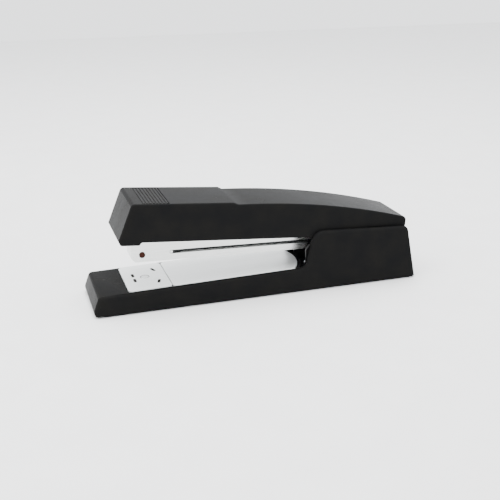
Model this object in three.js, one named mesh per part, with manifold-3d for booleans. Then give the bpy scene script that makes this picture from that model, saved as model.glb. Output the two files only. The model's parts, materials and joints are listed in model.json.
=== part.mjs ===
// Full-strip desk stapler, at rest: the lift spring holds the nose up and the cap stands above the magazine.
// Millimetres and degrees. +X runs to the rear, +Z up, and the origin is under the middle of the sole.
import * as THREE from 'three';
import { mergeVertices } from 'three/addons/utils/BufferGeometryUtils.js';
import Module from 'manifold-3d';

const wasm = await Module();
wasm.setup();

// ---- Base ----
const BASE_LENGTH = 197.3;
const BASE_WIDTH = 44.6;
const SIDE_DRAFT = 1.0; // the sides lean in, degrees
const CASING_LIFT = 1.0; // the casing ends this far above the ground, on its sole
const BASE_WALL = 2.2;
const DECK_HEIGHT = 11.95; // at the front end
const DECK_TILT = 1.15; // the deck rises to the rear
const DECK_THICKNESS = 3.0;
const EDGE_ROUND = 2.2; // along the top edges of the casing
const HOLLOW_MARGIN = 0.6; // the hollow keeps this far inside the base's walls
const FRONT_SLANT = 3.0; // the top of the front end stands this far behind the toe
const TOE_HEIGHT = 4.0;
const TOE_FOOT_ROUND = 3.0;
const REAR_SLANT = 6.1; // the top of the cheeks stands this far ahead of the heel
const REAR_WALL = 3.6; // from the heel to the inside of the rear wall
const REAR_ROUND = 3.4;
const CHEEK_LENGTH = 71.7; // from the foot of the cheek's front edge to the heel
const CHEEK_RAKE = 4.6; // the cheek's front edge leans back by this much
const CHEEK_FRONT_HEIGHT = 36.6;
const CHEEK_REAR_HEIGHT = 33.3;
const CHEEK_WALL = 2.6;
const CHEEK_FOOT_ROUND = 5;
const CHEEK_TOP_ROUND = 7.5;
const WELL_FLOOR = 7.0; // floor between the cheeks
const WELL_FLOOR_THICKNESS = 2.0;
const DECK_RIM = 2.4; // of the deck, between the long plate and the well
const REAR_SILL = 9.5; // height of the casing's rear wall between the cheeks
const SOLE_INSET = 1.2;
const SOLE_PLUG = 1.6; // how far the sole plugs into the casing
const SOLE_TOE_SETBACK = 2.2; // further behind the toe than at the other sides
const SOLE_GAP = 0.15; // between the foot of the sole and the casing

// ---- Bright plates in the deck ----
const PLATE_WIDTH = 38.4;
const PLATE_THICKNESS = 1.2;
const PLATE_PROUD = 0.35; // above the deck
const ANVIL_LENGTH = 25.0;
const ANVIL_AHEAD = 6.1; // from the clinching groove to the front edge of the anvil
const PLATE_TO_CHEEK = 0.2; // from the crest of the long plate's arched end to the foot of the cheeks
const PLATE_END_RADIUS = 31;
const PLATE_GAP = 0.45; // between the anvil and the long plate
const PLATE_CORNER = 2.2;
const TAB_LENGTH = 8;
const TAB_DEPTH = 3.6;
const TAB_THICKNESS = 1.0;
const TAB_FRONT_SETBACK = 12; // from the front of the long plate to the middle of its front tabs
const TAB_REAR_SETBACK = 20;
const TAB_SIDE_SETBACK = 5;

// ---- Anvil's post ----
const POST_X = 6.4; // behind the clinching groove
const POST_RADIUS = 3.4;
const POST_HEAD_RADIUS = 2.4;
const BUTTON_RADIUS = 6;
const BUTTON_BOTTOM = 0.8;
const BUTTON_TOP = 3.2;
const BUTTON_CHAMFER = 0.6;
const ANVIL_SPRING_INNER = 4.1;
const ANVIL_SPRING_OUTER = 5.3;

// ---- Grooves of the anvil, which turn the legs of a staple ----
const GROOVE_DEPTH = 0.6;
const GROOVE_WIDTH = 1.7;
const CLINCH_GROOVE_LENGTH = 5.4;
const CLINCH_GROOVE_INSET = 2.4; // from the end of a staple to the middle of its groove
const PINNING_GROOVE_LENGTH = 5.2;
const PINNING_X = 13.0; // behind the clinching groove
const PINNING_SPREAD = 9.4;
const PINNING_ANGLE = 18;

// ---- Staples, which set the width of the magazine ----
const STAPLE_WIDTH = 12.7;
const STAPLE_LEG = 6.35;
const WIRE = 0.5;

// ---- Hinge ----
const PIN_SETBACK = 19.2; // from the heel
const PIN_HEIGHT = 27;
const PIN_RADIUS = 2.0;
const BRACKET_WALL = 1.5;
const BRACKET_BOSS = 6.5;
const BRACKET_FRONT_GAP = 1.2; // from the front wall of the well to the bracket
const RING_WIDTH = 0.9;
const PIN_GROOVE = 0.5;
const RING_OPENING = 35; // half of the retaining ring's gap, degrees
const SCREW_RADIUS = 1.5;
const SCREW_HEAD_RADIUS = 3.0;
const FRONT_SCREW_SETBACK = 7.2; // from the front wall of the well
const REAR_SCREW_SETBACK = 27.2;
const SCREW_BOSS_RADIUS = 4.2;
const LIFT_SPRING_WIDTH = 9;
const LEAF = 0.8; // thickness of the leaf springs
const LIFT_CONTACT = -20; // where the lift spring meets the magazine, from the pin
const EAR_FRONT_HEIGHT = 22.0;
const EAR_TOP_HEIGHT = 32.0;

// ---- Magazine ----
const MAGAZINE_TILT = 1.95; // nose up at rest
const NOSE_SETBACK = 24.4; // from the toe of the base to the nose
const SHEET = 0.8; // channel and rail
const MAGAZINE_HEIGHT = 13.0;
const MAGAZINE_DROP = 7.1; // from the pin's axis to the underside
const DRIVER_GAP = 1.8; // between the nose wall and the rail
const NOSE_WALL = 1.0;
const NOSE_CHAMFER = 2.4;
const SLOT_HEIGHT = 2.1;
const SLOT_RISE = 4.9; // from the underside to the middle of the slot
const SLOT_FROM_NOSE = 22.2; // to the round front end of the slot
const SLOT_TO_PIN = 33; // from the rear end of the slot to the pin
const NOSE_HOLE_FROM_NOSE = 6.3;
const NOSE_HOLE_RISE = 4.3;
const NOSE_HOLE_RADIUS = 1.9;
const STUB_RADIUS = 1.5; // of the nose block's stubs, which reach through the nose holes
const STUB_INSET = 0.25;
const NOSE_BLOCK_TAIL = 7; // the nose block reaches this far behind the nose holes
const ROD_SOCKET = 4;
const BLOCK_TOP = 3.0;
const BLOCK_LENGTH = 12;
const RIVET_RADIUS = 1.2;
const REAR_RIVET_TO_PIN = 15;
const RAIL_TO_PIN = 24.5;
const ROD_RADIUS = 1.0;
const ROD_RISE = 3.7;
const PUSHER_LENGTH = 23;
const PUSHER_HEAD = 3.2;
const PUSHER_SHEET = 0.4;
const PUSHER_SKIRT = 2.4; // the saddle's legs reach this far below the middle of the slot
const PEG_RADIUS = 0.85;
const CARRIER_AHEAD = 3.6; // of the peg
const CARRIER_LENGTH = 9;
const SPRING_CLEARANCE = 0.4; // between the rod and the pusher spring
const SPRING_WALL = 0.7;

// ---- Handle ----
const HANDLE_TILT = 4.8; // nose up at rest
const COVER_WALL = 2.0;
const COVER_TAPER = 2.0; // each side narrows by this much from the nose to the tail
const COVER_EDGE_ROUND = 1.2;
const COVER_LEDGE = 1.2; // lower edge of the arm, above the pin's axis
const CAP_OVERHANG = 9.0; // the cap's lip stands this far ahead of the magazine's nose
const CAP_SLANT = 6.8; // the top of the front face stands this far behind the lip
const CAP_TOP = 22.9;
const CAP_LIP = -0.45;
const LIP_HEIGHT = 2.2; // of the upright edge under the front face
const LIP_LENGTH = 11.6;
const CAP_LENGTH = 58; // along the top, from the front edge to the step
const STEP_RUN = 2.7;
const ARCH_TOP = 22.0;
const ARCH_AHEAD = 80; // from the pin to the crest of the arch
const ARCH_RADIUS = 435;
const TAIL_LENGTH = 12.8;
const TAIL_LEDGE = 6.8; // lower edge of the tail where it clears the cheeks, above the pin's axis
const TAIL_SAG = 1.5; // the ledge falls by this much to the end of the tail
const TAIL_ROUND = 2.6;
const FRAME_WALL = 1.0;
const FRAME_GAP = 1.0; // between the cover and the frame
const FRAME_SIDE = 6.5;
const FRAME_NOSE_SIDE = 9; // depth of the frame's sides at the driver
const BLADE_SLACK = 0.2; // extra room for the driver in the frame
const BLADE_THICKNESS = 0.6;
const BLADE_WIDTH = 12.2;
const BLADE_LIFT = 0.25; // the driver's tip stands this far above the magazine's underside at rest
const BLADE_TO_FRAME = 1.2; // from the driver's top up to the frame's
const BLADE_RIVET_SPREAD = 3.4;
const BLADE_RIVET_RADIUS = 1.0;
const BLADE_RIVET_HEAD = 1.9;
const BLADE_RIVET_DROP = 3.2; // below the driver's top
const COVER_SCREW_RADIUS = 1.3;
const COVER_SCREW_HEAD = 2.6;
const COVER_BOSS_RADIUS = 3.2;
const FRONT_COVER_SCREW = 30; // behind the front of the cap's top
const REAR_COVER_SCREW = -34; // from the pin
const HANDLE_SPRING_WIDTH = 8;
const HANDLE_SPRING_ROOT = -72; // from the pin
const HANDLE_SPRING_TIP = -18;
const PANEL_LENGTH = 15;
const PANEL_FROM_FRONT = 6.2;
const PANEL_MARGIN = 1.6;
const PANEL_ROUND = 0.8;
const PANEL_FIT = 0.2; // all round, between the panel and its pocket
const PANEL_POCKET = 1.0;
const PANEL_BASE = 0.5;
const RIB_COUNT = 8;
const RIB_HEIGHT = 0.4;
const RIB_INSET = 1.4;

// ---- Clearances ----
const GAP = 0.3; // between pieces that touch or turn
const SIDE_PLAY = 0.5; // between the nested side walls at the hinge
const COVER_PLAY = 2.0; // between the tail of the cover and the cheeks

// ---- Places that follow from the sizes above ----
const HEEL_X = BASE_LENGTH / 2;
const TOE_X = -BASE_LENGTH / 2;
const PIN_X = HEEL_X - PIN_SETBACK;
const REACH = BASE_LENGTH - PIN_SETBACK - NOSE_SETBACK; // from the pin to the nose
const DRIVER_REACH = REACH - NOSE_WALL - DRIVER_GAP / 2;
const CLINCH_X = PIN_X - DRIVER_REACH;
const CHANNEL_INNER = STAPLE_WIDTH / 2 + 0.15;
const CHANNEL_OUTER = CHANNEL_INNER + SHEET;
const RAIL_OUTER = STAPLE_WIDTH / 2 - WIRE - 0.15;
const FRAME_INNER = CHANNEL_OUTER + SIDE_PLAY;
const FRAME_OUTER = FRAME_INNER + FRAME_WALL;
const EAR_INNER = FRAME_OUTER + SIDE_PLAY;
const EAR_OUTER = EAR_INNER + BRACKET_WALL;
const CHEEK_INNER = BASE_WIDTH / 2 - PIN_HEIGHT * Math.tan(rad(SIDE_DRAFT)) - CHEEK_WALL;
const COVER_TAIL_HALF = CHEEK_INNER - COVER_PLAY;
const COVER_NOSE_HALF = COVER_TAIL_HALF + COVER_TAPER;
const CHANNEL_FLOOR = -MAGAZINE_DROP + SHEET;
const CHANNEL_TOP = -MAGAZINE_DROP + MAGAZINE_HEIGHT;
const RAIL_TOP = CHANNEL_FLOOR + STAPLE_LEG - 0.35;
const SLOT_Z = -MAGAZINE_DROP + SLOT_RISE;
const ROD_Z = -MAGAZINE_DROP + ROD_RISE;
const SLOT_FRONT = -REACH + SLOT_FROM_NOSE;
const PEG_X = SLOT_FRONT + SLOT_HEIGHT / 2;
const NOSE_HOLE_X = -REACH + NOSE_HOLE_FROM_NOSE;
const NOSE_HOLE_Z = -MAGAZINE_DROP + NOSE_HOLE_RISE;
const RAIL_FRONT = -REACH + NOSE_WALL + DRIVER_GAP;
const RAIL_REAR = -RAIL_TO_PIN;
const COVER_FRONT = -REACH - CAP_OVERHANG;
const CAP_FRONT_TOP = COVER_FRONT + CAP_SLANT;
const LONG_PLATE_FRONT = -ANVIL_AHEAD + ANVIL_LENGTH + PLATE_GAP; // from the clinching groove
const CHEEK_FOOT = HEEL_X - CHEEK_LENGTH;
const PLATE_LENGTH = CHEEK_FOOT - PLATE_TO_CHEEK - CLINCH_X - LONG_PLATE_FRONT;
const WELL_FRONT = CLINCH_X + LONG_PLATE_FRONT + PLATE_LENGTH + DECK_RIM;
const WELL_RADIUS = PLATE_END_RADIUS + DECK_RIM;
const WELL_CORNER = arch(WELL_FRONT, WELL_RADIUS, CHEEK_INNER);
const WELL_REAR = HEEL_X - REAR_WALL;
const SCREW_PLACES = [WELL_FRONT + FRONT_SCREW_SETBACK, WELL_FRONT + REAR_SCREW_SETBACK];
const RIVET_PLACES = [NOSE_HOLE_X, -REAR_RIVET_TO_PIN];
const COVER_SCREWS = [CAP_FRONT_TOP + FRONT_COVER_SCREW, REAR_COVER_SCREW];
const STEP_X = CAP_FRONT_TOP + CAP_LENGTH;
const STEP_FOOT_X = STEP_X + STEP_RUN;
const FRAME_INSET = COVER_WALL + FRAME_GAP;

// ---- Materials ----
const BLACK_ENAMEL = new THREE.MeshStandardMaterial({ color: 0x232425, roughness: 0.32, metalness: 0.0 });
const BLACK_STEEL = new THREE.MeshStandardMaterial({ color: 0x2b2c2e, roughness: 0.4, metalness: 0.6 });
const BRIGHT_PLATE = new THREE.MeshStandardMaterial({ color: 0xe6e9ea, roughness: 0.12, metalness: 1.0 });
const BRUSHED_STEEL = new THREE.MeshStandardMaterial({ color: 0xc9ccce, roughness: 0.3, metalness: 1.0 });
const SPRING_STEEL = new THREE.MeshStandardMaterial({ color: 0x8d9194, roughness: 0.35, metalness: 1.0 });
const RUBBER = new THREE.MeshStandardMaterial({ color: 0x17181a, roughness: 0.9, metalness: 0.0 });
const BROWN_PLASTIC = new THREE.MeshStandardMaterial({ color: 0x4a2a22, roughness: 0.6, metalness: 0.0 });
const PANEL_PLASTIC = new THREE.MeshStandardMaterial({ color: 0x1c1c1d, roughness: 0.7, metalness: 0.0 });

// ---- Tools ----
function rad(degrees) {
  return (degrees * Math.PI) / 180;
}

// The X of an arched end at the distance y from its crest.
function arch(crest, radius, y) {
  return crest - radius + Math.sqrt(radius * radius - y * y);
}

// A closed three.js geometry as a solid that can be joined and cut.
function solid(geometry) {
  const bare = geometry.clone();
  bare.deleteAttribute('normal');
  bare.deleteAttribute('uv');
  const merged = mergeVertices(bare, 1e-4);
  const mesh = new wasm.Mesh({
    numProp: 3,
    vertProperties: new Float32Array(merged.attributes.position.array),
    triVerts: new Uint32Array(merged.index.array),
  });
  return new wasm.Manifold(mesh);
}

function geometryOf(shape) {
  const mesh = shape.getMesh();
  const geometry = new THREE.BufferGeometry();
  geometry.setAttribute('position', new THREE.BufferAttribute(mesh.vertProperties, 3));
  geometry.setIndex(new THREE.BufferAttribute(mesh.triVerts, 1));
  return geometry;
}

// An outline from corners [a, b, radius]; a corner without a radius stays sharp.
function outline(corners) {
  const path = new THREE.Shape();
  const count = corners.length;
  corners.forEach(([a, b, radius = 0], i) => {
    const here = new THREE.Vector2(a, b);
    if (radius === 0) {
      addPoint(path, here, i === 0);
      return;
    }
    const [pa, pb] = corners[(i + count - 1) % count];
    const [na, nb] = corners[(i + 1) % count];
    const back = new THREE.Vector2(pa, pb).sub(here).normalize();
    const ahead = new THREE.Vector2(na, nb).sub(here).normalize();
    const half = Math.acos(THREE.MathUtils.clamp(back.dot(ahead), -1, 1)) / 2;
    const start = here.clone().addScaledVector(back, radius / Math.tan(half));
    const middle = back.clone().add(ahead).normalize();
    const centre = here.clone().addScaledVector(middle, radius / Math.sin(half));
    const from = start.clone().sub(centre).angle();
    const turn = Math.sign(back.cross(ahead)) * (Math.PI - 2 * half);
    const steps = Math.max(2, Math.ceil(Math.abs(turn) / rad(18)));
    for (let s = 0; s <= steps; s += 1) {
      const angle = from + (turn * -s) / steps;
      const point = new THREE.Vector2(Math.cos(angle), Math.sin(angle)).multiplyScalar(radius).add(centre);
      addPoint(path, point, i === 0 && s === 0);
    }
  });
  path.closePath();
  return path;
}

function addPoint(path, point, first) {
  if (first) {
    path.moveTo(point.x, point.y);
  } else {
    path.lineTo(point.x, point.y);
  }
}

// A side outline in X and Z, drawn out across Y from y0 to y1, with rounded side edges if asked.
function across(shape, y0, y1, round = 0) {
  const geometry = new THREE.ExtrudeGeometry(shape, {
    depth: y1 - y0 - 2 * round,
    bevelEnabled: round > 0,
    bevelThickness: round,
    bevelSize: round,
    bevelOffset: -round,
    bevelSegments: 3,
    curveSegments: 12,
  });
  geometry.rotateX(Math.PI / 2);
  geometry.translate(0, y1 - round, 0);
  return geometry;
}

// A plan outline in X and Y, drawn up from z0 to z1.
function upward(shape, z0, z1) {
  const settings = { depth: z1 - z0, bevelEnabled: false, curveSegments: 12 };
  const geometry = new THREE.ExtrudeGeometry(shape, settings);
  geometry.translate(0, 0, z0);
  return geometry;
}

function block(x0, x1, y0, y1, z0, z1) {
  const geometry = new THREE.BoxGeometry(x1 - x0, y1 - y0, z1 - z0);
  geometry.translate((x0 + x1) / 2, (y0 + y1) / 2, (z0 + z1) / 2);
  return geometry;
}

function rodAlongX(radius, x0, x1, y, z, sides = 20) {
  const geometry = new THREE.CylinderGeometry(radius, radius, x1 - x0, sides);
  geometry.rotateZ(Math.PI / 2);
  geometry.translate((x0 + x1) / 2, y, z);
  return geometry;
}

function rodAlongY(radius, y0, y1, x, z, sides = 24) {
  const geometry = new THREE.CylinderGeometry(radius, radius, y1 - y0, sides);
  geometry.translate(x, (y0 + y1) / 2, z);
  return geometry;
}

// A turned piece on an upright axis, from [radius, height] points.
function turned(points, x, y, sides = 24) {
  const profile = points.map(([radius, height]) => new THREE.Vector2(radius, height));
  const geometry = new THREE.LatheGeometry(profile, sides);
  geometry.rotateX(Math.PI / 2);
  geometry.translate(x, y, 0);
  return geometry;
}

function rodUpright(radius, x, y, z0, z1, sides = 24) {
  return turned([[0, z0], [radius, z0], [radius, z1], [0, z1]], x, y, sides);
}

function rectangle(x0, x1, half, frontRound, rearRound) {
  return outline([
    [x0, -half, frontRound],
    [x1, -half, rearRound],
    [x1, half, rearRound],
    [x0, half, frontRound],
  ]);
}

// Points across the arched end of a plan, from -Y to +Y.
function archedEnd(crest, half, radius, steps = 12) {
  const points = [];
  for (let i = 0; i <= steps; i += 1) {
    const y = -half + (2 * half * i) / steps;
    points.push([arch(crest, radius, y), y]);
  }
  return points;
}

// A rectangle whose rear end is an arch.
function archEnded(x0, crest, half, frontRound, radius) {
  return outline([
    [x0, half, frontRound],
    [x0, -half, frontRound],
    ...archedEnd(crest, half, radius),
  ]);
}

function piece(name, shape, material) {
  const geometry = shape.isBufferGeometry ? shape : geometryOf(shape);
  const mesh = new THREE.Mesh(geometry, material);
  mesh.name = name;
  return mesh;
}

function joined(...geometries) {
  return geometries.map(solid).reduce((sum, next) => sum.add(next));
}

function cut(body, ...geometries) {
  return geometries.map(solid).reduce((left, next) => left.subtract(next), body);
}

// ---- Base casing ----
function deckZ(x) {
  return DECK_HEIGHT + (x - TOE_X) * Math.tan(rad(DECK_TILT));
}

// The deck frame: origin on the deck above the clinching groove, X along the deck, Z square to it.
const deckFrame = new THREE.Matrix4()
  .makeRotationY(-rad(DECK_TILT))
  .setPosition(CLINCH_X, 0, deckZ(CLINCH_X));

function onDeck(geometry) {
  return geometry.applyMatrix4(deckFrame);
}

function casingOutline(bottom, toeRound) {
  const foot = CHEEK_FOOT;
  const top = HEEL_X - REAR_SLANT;
  return outline([
    [TOE_X, bottom, toeRound],
    [HEEL_X, bottom],
    [HEEL_X, CASING_LIFT],
    [top, CHEEK_REAR_HEIGHT, REAR_ROUND],
    [foot + CHEEK_RAKE, CHEEK_FRONT_HEIGHT, CHEEK_TOP_ROUND],
    [foot, deckZ(foot), CHEEK_FOOT_ROUND],
    [TOE_X + FRONT_SLANT, deckZ(TOE_X + FRONT_SLANT), EDGE_ROUND + 0.3],
    [TOE_X, TOE_HEIGHT, EDGE_ROUND],
  ]);
}

// The sides lean in towards the top.
function drafted(geometry) {
  const position = geometry.attributes.position;
  const lean = Math.tan(rad(SIDE_DRAFT));
  for (let i = 0; i < position.count; i += 1) {
    const y = position.getY(i);
    const share = y / (BASE_WIDTH / 2);
    position.setY(i, y - share * lean * position.getZ(i));
  }
  return geometry;
}

function baseCasing() {
  const half = BASE_WIDTH / 2;
  const rounded = solid(drafted(across(casingOutline(-8, 0), -half, half, EDGE_ROUND)));
  const trimmed = solid(across(casingOutline(0, TOE_FOOT_ROUND), -half - 1, half + 1));
  const above = solid(block(TOE_X - 1, HEEL_X + 1, -half - 1, half + 1, CASING_LIFT, 60));
  let casing = rounded.intersect(trimmed).intersect(above);
  casing = cut(casing, casingHollow(), cheekWell(), rearOpening());
  casing = casing.add(joined(...screwBosses()));
  casing = cut(casing, ...screwHoles());
  return cut(casing, onDeck(plateRecess()), onDeck(postHole()), ...tabSlots().map(onDeck));
}

function casingHollow() {
  const half = BASE_WIDTH / 2 - BASE_WALL - HOLLOW_MARGIN;
  const front = TOE_X + FRONT_SLANT + BASE_WALL;
  const well = WELL_CORNER - BASE_WALL;
  const rear = WELL_REAR;
  const under = WELL_FLOOR - WELL_FLOOR_THICKNESS;
  return across(outline([
    [front, CASING_LIFT - 2],
    [rear, CASING_LIFT - 2],
    [rear, under],
    [well, under],
    [well, deckZ(well) - DECK_THICKNESS],
    [front, deckZ(front) - DECK_THICKNESS],
  ]), -half, half);
}

// The well between the cheeks, with an arched front wall.
function cheekWell() {
  const plan = outline([
    [WELL_REAR, CHEEK_INNER],
    [WELL_REAR, -CHEEK_INNER],
    ...archedEnd(WELL_FRONT, CHEEK_INNER, WELL_RADIUS),
  ]);
  return upward(plan, WELL_FLOOR, 60);
}

// Between the cheeks, the deck runs back to the well and the rear wall is only a sill.
function rearOpening() {
  const front = CHEEK_FOOT - 2 * CHEEK_FOOT_ROUND;
  return across(outline([
    [front, deckZ(front)],
    [WELL_FRONT, deckZ(WELL_FRONT)],
    [WELL_FRONT, REAR_SILL],
    [HEEL_X + 2, REAR_SILL],
    [HEEL_X + 2, 60],
    [front, 60],
  ]), -CHEEK_INNER, CHEEK_INNER);
}

function screwBosses() {
  return SCREW_PLACES.map((x) => rodUpright(
    SCREW_BOSS_RADIUS,
    x,
    0,
    SOLE_PLUG + CASING_LIFT + GAP,
    WELL_FLOOR - GAP,
  ));
}

function screwHoles() {
  return SCREW_PLACES.map((x) => rodUpright(SCREW_RADIUS + GAP, x, 0, 0, WELL_FLOOR + 1));
}

function plateRecess() {
  const crest = LONG_PLATE_FRONT + PLATE_LENGTH + GAP;
  const depth = PLATE_THICKNESS - PLATE_PROUD + GAP;
  const plan = archEnded(-ANVIL_AHEAD - GAP, crest, PLATE_WIDTH / 2 + GAP, 0, PLATE_END_RADIUS + GAP);
  return upward(plan, -depth, 8);
}

function postHole() {
  return rodUpright(POST_RADIUS + GAP, POST_X, 0, -8, 2);
}

// Four tabs under the long plate hold it in the deck.
function tabPlaces() {
  const rear = LONG_PLATE_FRONT + PLATE_LENGTH;
  const places = [];
  for (const x of [LONG_PLATE_FRONT + TAB_FRONT_SETBACK, rear - TAB_REAR_SETBACK]) {
    for (const side of [-1, 1]) {
      places.push([x, side * (PLATE_WIDTH / 2 - TAB_SIDE_SETBACK)]);
    }
  }
  return places;
}

function tabs(extra, top) {
  return tabPlaces().map(([x, y]) => block(
    x - TAB_LENGTH / 2 - extra,
    x + TAB_LENGTH / 2 + extra,
    y - TAB_THICKNESS / 2 - extra,
    y + TAB_THICKNESS / 2 + extra,
    -TAB_DEPTH - extra * 3,
    top,
  ));
}

function tabSlots() {
  return tabs(GAP, 1);
}

function baseSole() {
  const half = BASE_WIDTH / 2 - SOLE_INSET;
  const front = TOE_X + SOLE_INSET + SOLE_TOE_SETBACK;
  const rear = HEEL_X - SOLE_INSET;
  const foot = upward(rectangle(front, rear, half, 4, 3), 0, CASING_LIFT - SOLE_GAP);
  const plugFront = TOE_X + FRONT_SLANT + BASE_WALL + GAP;
  const plugRear = WELL_REAR - GAP;
  const plugHalf = BASE_WIDTH / 2 - BASE_WALL - HOLLOW_MARGIN - GAP;
  const plug = block(plugFront, plugRear, -plugHalf, plugHalf, 0.4, CASING_LIFT + SOLE_PLUG);
  const buttonHole = rodUpright(BUTTON_RADIUS + 2 * GAP, CLINCH_X + POST_X, 0, -1, 5, 32);
  return cut(joined(foot, plug), buttonHole);
}

// ---- Anvil ----
function groove(x, y, length, angle) {
  const width = GROOVE_WIDTH;
  const half = length / 2 - width / 2;
  const shape = new THREE.Shape();
  shape.absarc(half, 0, width / 2, -Math.PI / 2, Math.PI / 2, false);
  shape.absarc(-half, 0, width / 2, Math.PI / 2, (3 * Math.PI) / 2, false);
  const geometry = new THREE.ExtrudeGeometry(shape, { depth: 2, bevelEnabled: false, curveSegments: 6 });
  geometry.rotateZ(angle);
  geometry.translate(x, y, PLATE_PROUD - GROOVE_DEPTH);
  return geometry;
}

function anvilPlate() {
  const plate = solid(upward(
    rectangle(-ANVIL_AHEAD, -ANVIL_AHEAD + ANVIL_LENGTH, PLATE_WIDTH / 2, PLATE_CORNER, PLATE_CORNER),
    PLATE_PROUD - PLATE_THICKNESS,
    PLATE_PROUD,
  ));
  const clinch = STAPLE_WIDTH / 2 - CLINCH_GROOVE_INSET;
  const grooves = [];
  for (const side of [-1, 1]) {
    const turn = side * rad(PINNING_ANGLE);
    grooves.push(groove(0, side * clinch, CLINCH_GROOVE_LENGTH, Math.PI / 2));
    grooves.push(groove(PINNING_X, side * PINNING_SPREAD, PINNING_GROOVE_LENGTH, Math.PI / 2 + turn));
  }
  return cut(plate, ...grooves, rodUpright(POST_HEAD_RADIUS + GAP, POST_X, 0, -5, 5, 28));
}

function anvilPost() {
  const seat = PLATE_PROUD - PLATE_THICKNESS - GAP;
  const ground = -(deckZ(CLINCH_X + POST_X));
  return turned([
    [0, ground + BUTTON_BOTTOM],
    [BUTTON_RADIUS - BUTTON_CHAMFER, ground + BUTTON_BOTTOM],
    [BUTTON_RADIUS, ground + BUTTON_BOTTOM + BUTTON_CHAMFER],
    [BUTTON_RADIUS, ground + BUTTON_TOP],
    [POST_RADIUS, ground + BUTTON_TOP],
    [POST_RADIUS, seat],
    [POST_HEAD_RADIUS, seat],
    [POST_HEAD_RADIUS, PLATE_PROUD - 0.05],
    [0, PLATE_PROUD - 0.05],
  ], POST_X, 0, 28);
}

function anvilSpring() {
  const ground = -(deckZ(CLINCH_X + POST_X));
  const low = ground + BUTTON_TOP + GAP;
  const high = -DECK_THICKNESS - GAP;
  const inner = ANVIL_SPRING_INNER;
  const outer = ANVIL_SPRING_OUTER;
  return turned([[inner, low], [outer, low], [outer, high], [inner, high], [inner, low]], POST_X, 0);
}

function basePlate() {
  const crest = LONG_PLATE_FRONT + PLATE_LENGTH;
  const plan = archEnded(LONG_PLATE_FRONT, crest, PLATE_WIDTH / 2, PLATE_CORNER, PLATE_END_RADIUS);
  const plate = upward(plan, PLATE_PROUD - PLATE_THICKNESS, PLATE_PROUD);
  return joined(plate, ...tabs(0, PLATE_PROUD - PLATE_THICKNESS / 2));
}

// ---- Hinge ----
function hingeBracket() {
  const front = WELL_FRONT + BRACKET_FRONT_GAP;
  const floor = WELL_FLOOR + GAP;
  const boss = BRACKET_BOSS;
  const side = outline([
    [front, floor],
    [PIN_X - 17, floor],
    [PIN_X + boss * 0.75, PIN_HEIGHT - boss * 0.9, 3],
    [PIN_X + boss, PIN_HEIGHT + boss, boss - 0.6],
    [PIN_X - 22, EAR_TOP_HEIGHT, 6],
    [front + 8, EAR_TOP_HEIGHT - 1, 6],
    [front, EAR_FRONT_HEIGHT, 2.5],
  ]);
  const whole = solid(across(side, -EAR_OUTER, EAR_OUTER));
  const inside = block(front - 2, PIN_X + 2 * boss, -EAR_INNER, EAR_INNER, floor + BRACKET_WALL, 60);
  const hole = rodAlongY(PIN_RADIUS + GAP, -EAR_OUTER - 2, EAR_OUTER + 2, PIN_X, PIN_HEIGHT);
  return cut(whole, inside, hole, ...screwHoles().map((g) => g.translate(0, 0, 5)));
}

function bracketScrew(x) {
  const seat = WELL_FLOOR + GAP + BRACKET_WALL + GAP / 2;
  return turned([
    [0, CASING_LIFT + SOLE_PLUG + 2 * GAP],
    [SCREW_RADIUS, CASING_LIFT + SOLE_PLUG + 2 * GAP],
    [SCREW_RADIUS, seat],
    [SCREW_HEAD_RADIUS, seat],
    [SCREW_HEAD_RADIUS, seat + 1.2],
    [2.2, seat + 1.9],
    [0, seat + 1.9],
  ], x, 0, 24);
}

function hingePin() {
  const half = EAR_OUTER + GAP + RING_WIDTH + GAP + 1.4;
  const groove0 = EAR_OUTER + GAP;
  const groove1 = groove0 + RING_WIDTH + GAP;
  const profile = [[0, -half], [PIN_RADIUS - 0.4, -half], [PIN_RADIUS, -half + 0.4]];
  profile.push([PIN_RADIUS, -groove1], [PIN_RADIUS - PIN_GROOVE, -groove1]);
  profile.push([PIN_RADIUS - PIN_GROOVE, -groove0], [PIN_RADIUS, -groove0]);
  const mirrored = profile.map(([radius, y]) => [radius, -y]).reverse();
  const points = profile.concat(mirrored).map(([radius, y]) => new THREE.Vector2(radius, y));
  const geometry = new THREE.LatheGeometry(points, 24);
  return geometry.translate(PIN_X, 0, PIN_HEIGHT);
}

// An open retaining ring in the pin's groove.
function pinRing(side) {
  const inner = PIN_RADIUS - PIN_GROOVE + 0.2;
  const outer = PIN_RADIUS + 1.7;
  const open = rad(RING_OPENING);
  const ring = new THREE.Shape();
  ring.absarc(0, 0, outer, open, 2 * Math.PI - open, false);
  ring.absarc(0, 0, inner, 2 * Math.PI - open, open, true);
  const y = side * (EAR_OUTER + GAP * 1.5 + RING_WIDTH / 2);
  const geometry = new THREE.ExtrudeGeometry(ring, {
    depth: RING_WIDTH,
    bevelEnabled: false,
    curveSegments: 20,
  });
  geometry.rotateX(Math.PI / 2);
  geometry.rotateY(rad(90));
  return geometry.translate(PIN_X, y + RING_WIDTH / 2, PIN_HEIGHT);
}

// A leaf from the bracket's floor up to the underside of the magazine.
function liftSpring() {
  const floor = WELL_FLOOR + GAP + BRACKET_WALL + GAP;
  const start = SCREW_PLACES[0] + 5;
  const tilt = rad(MAGAZINE_TILT);
  const under = PIN_HEIGHT - LIFT_CONTACT * Math.sin(tilt) - MAGAZINE_DROP * Math.cos(tilt) - GAP;
  const tip = PIN_X + LIFT_CONTACT;
  const leaf = outline([
    [start, floor],
    [start + 8, floor, 2],
    [tip - 1, under - 1.4, 2],
    [tip + 3, under - 1.9],
    [tip + 3, under - 1.2],
    [tip - 1, under - 0.5, 2],
    [start + 8, floor + LEAF, 2],
    [start, floor + LEAF],
  ]);
  return across(leaf, -LIFT_SPRING_WIDTH / 2, LIFT_SPRING_WIDTH / 2);
}

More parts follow.
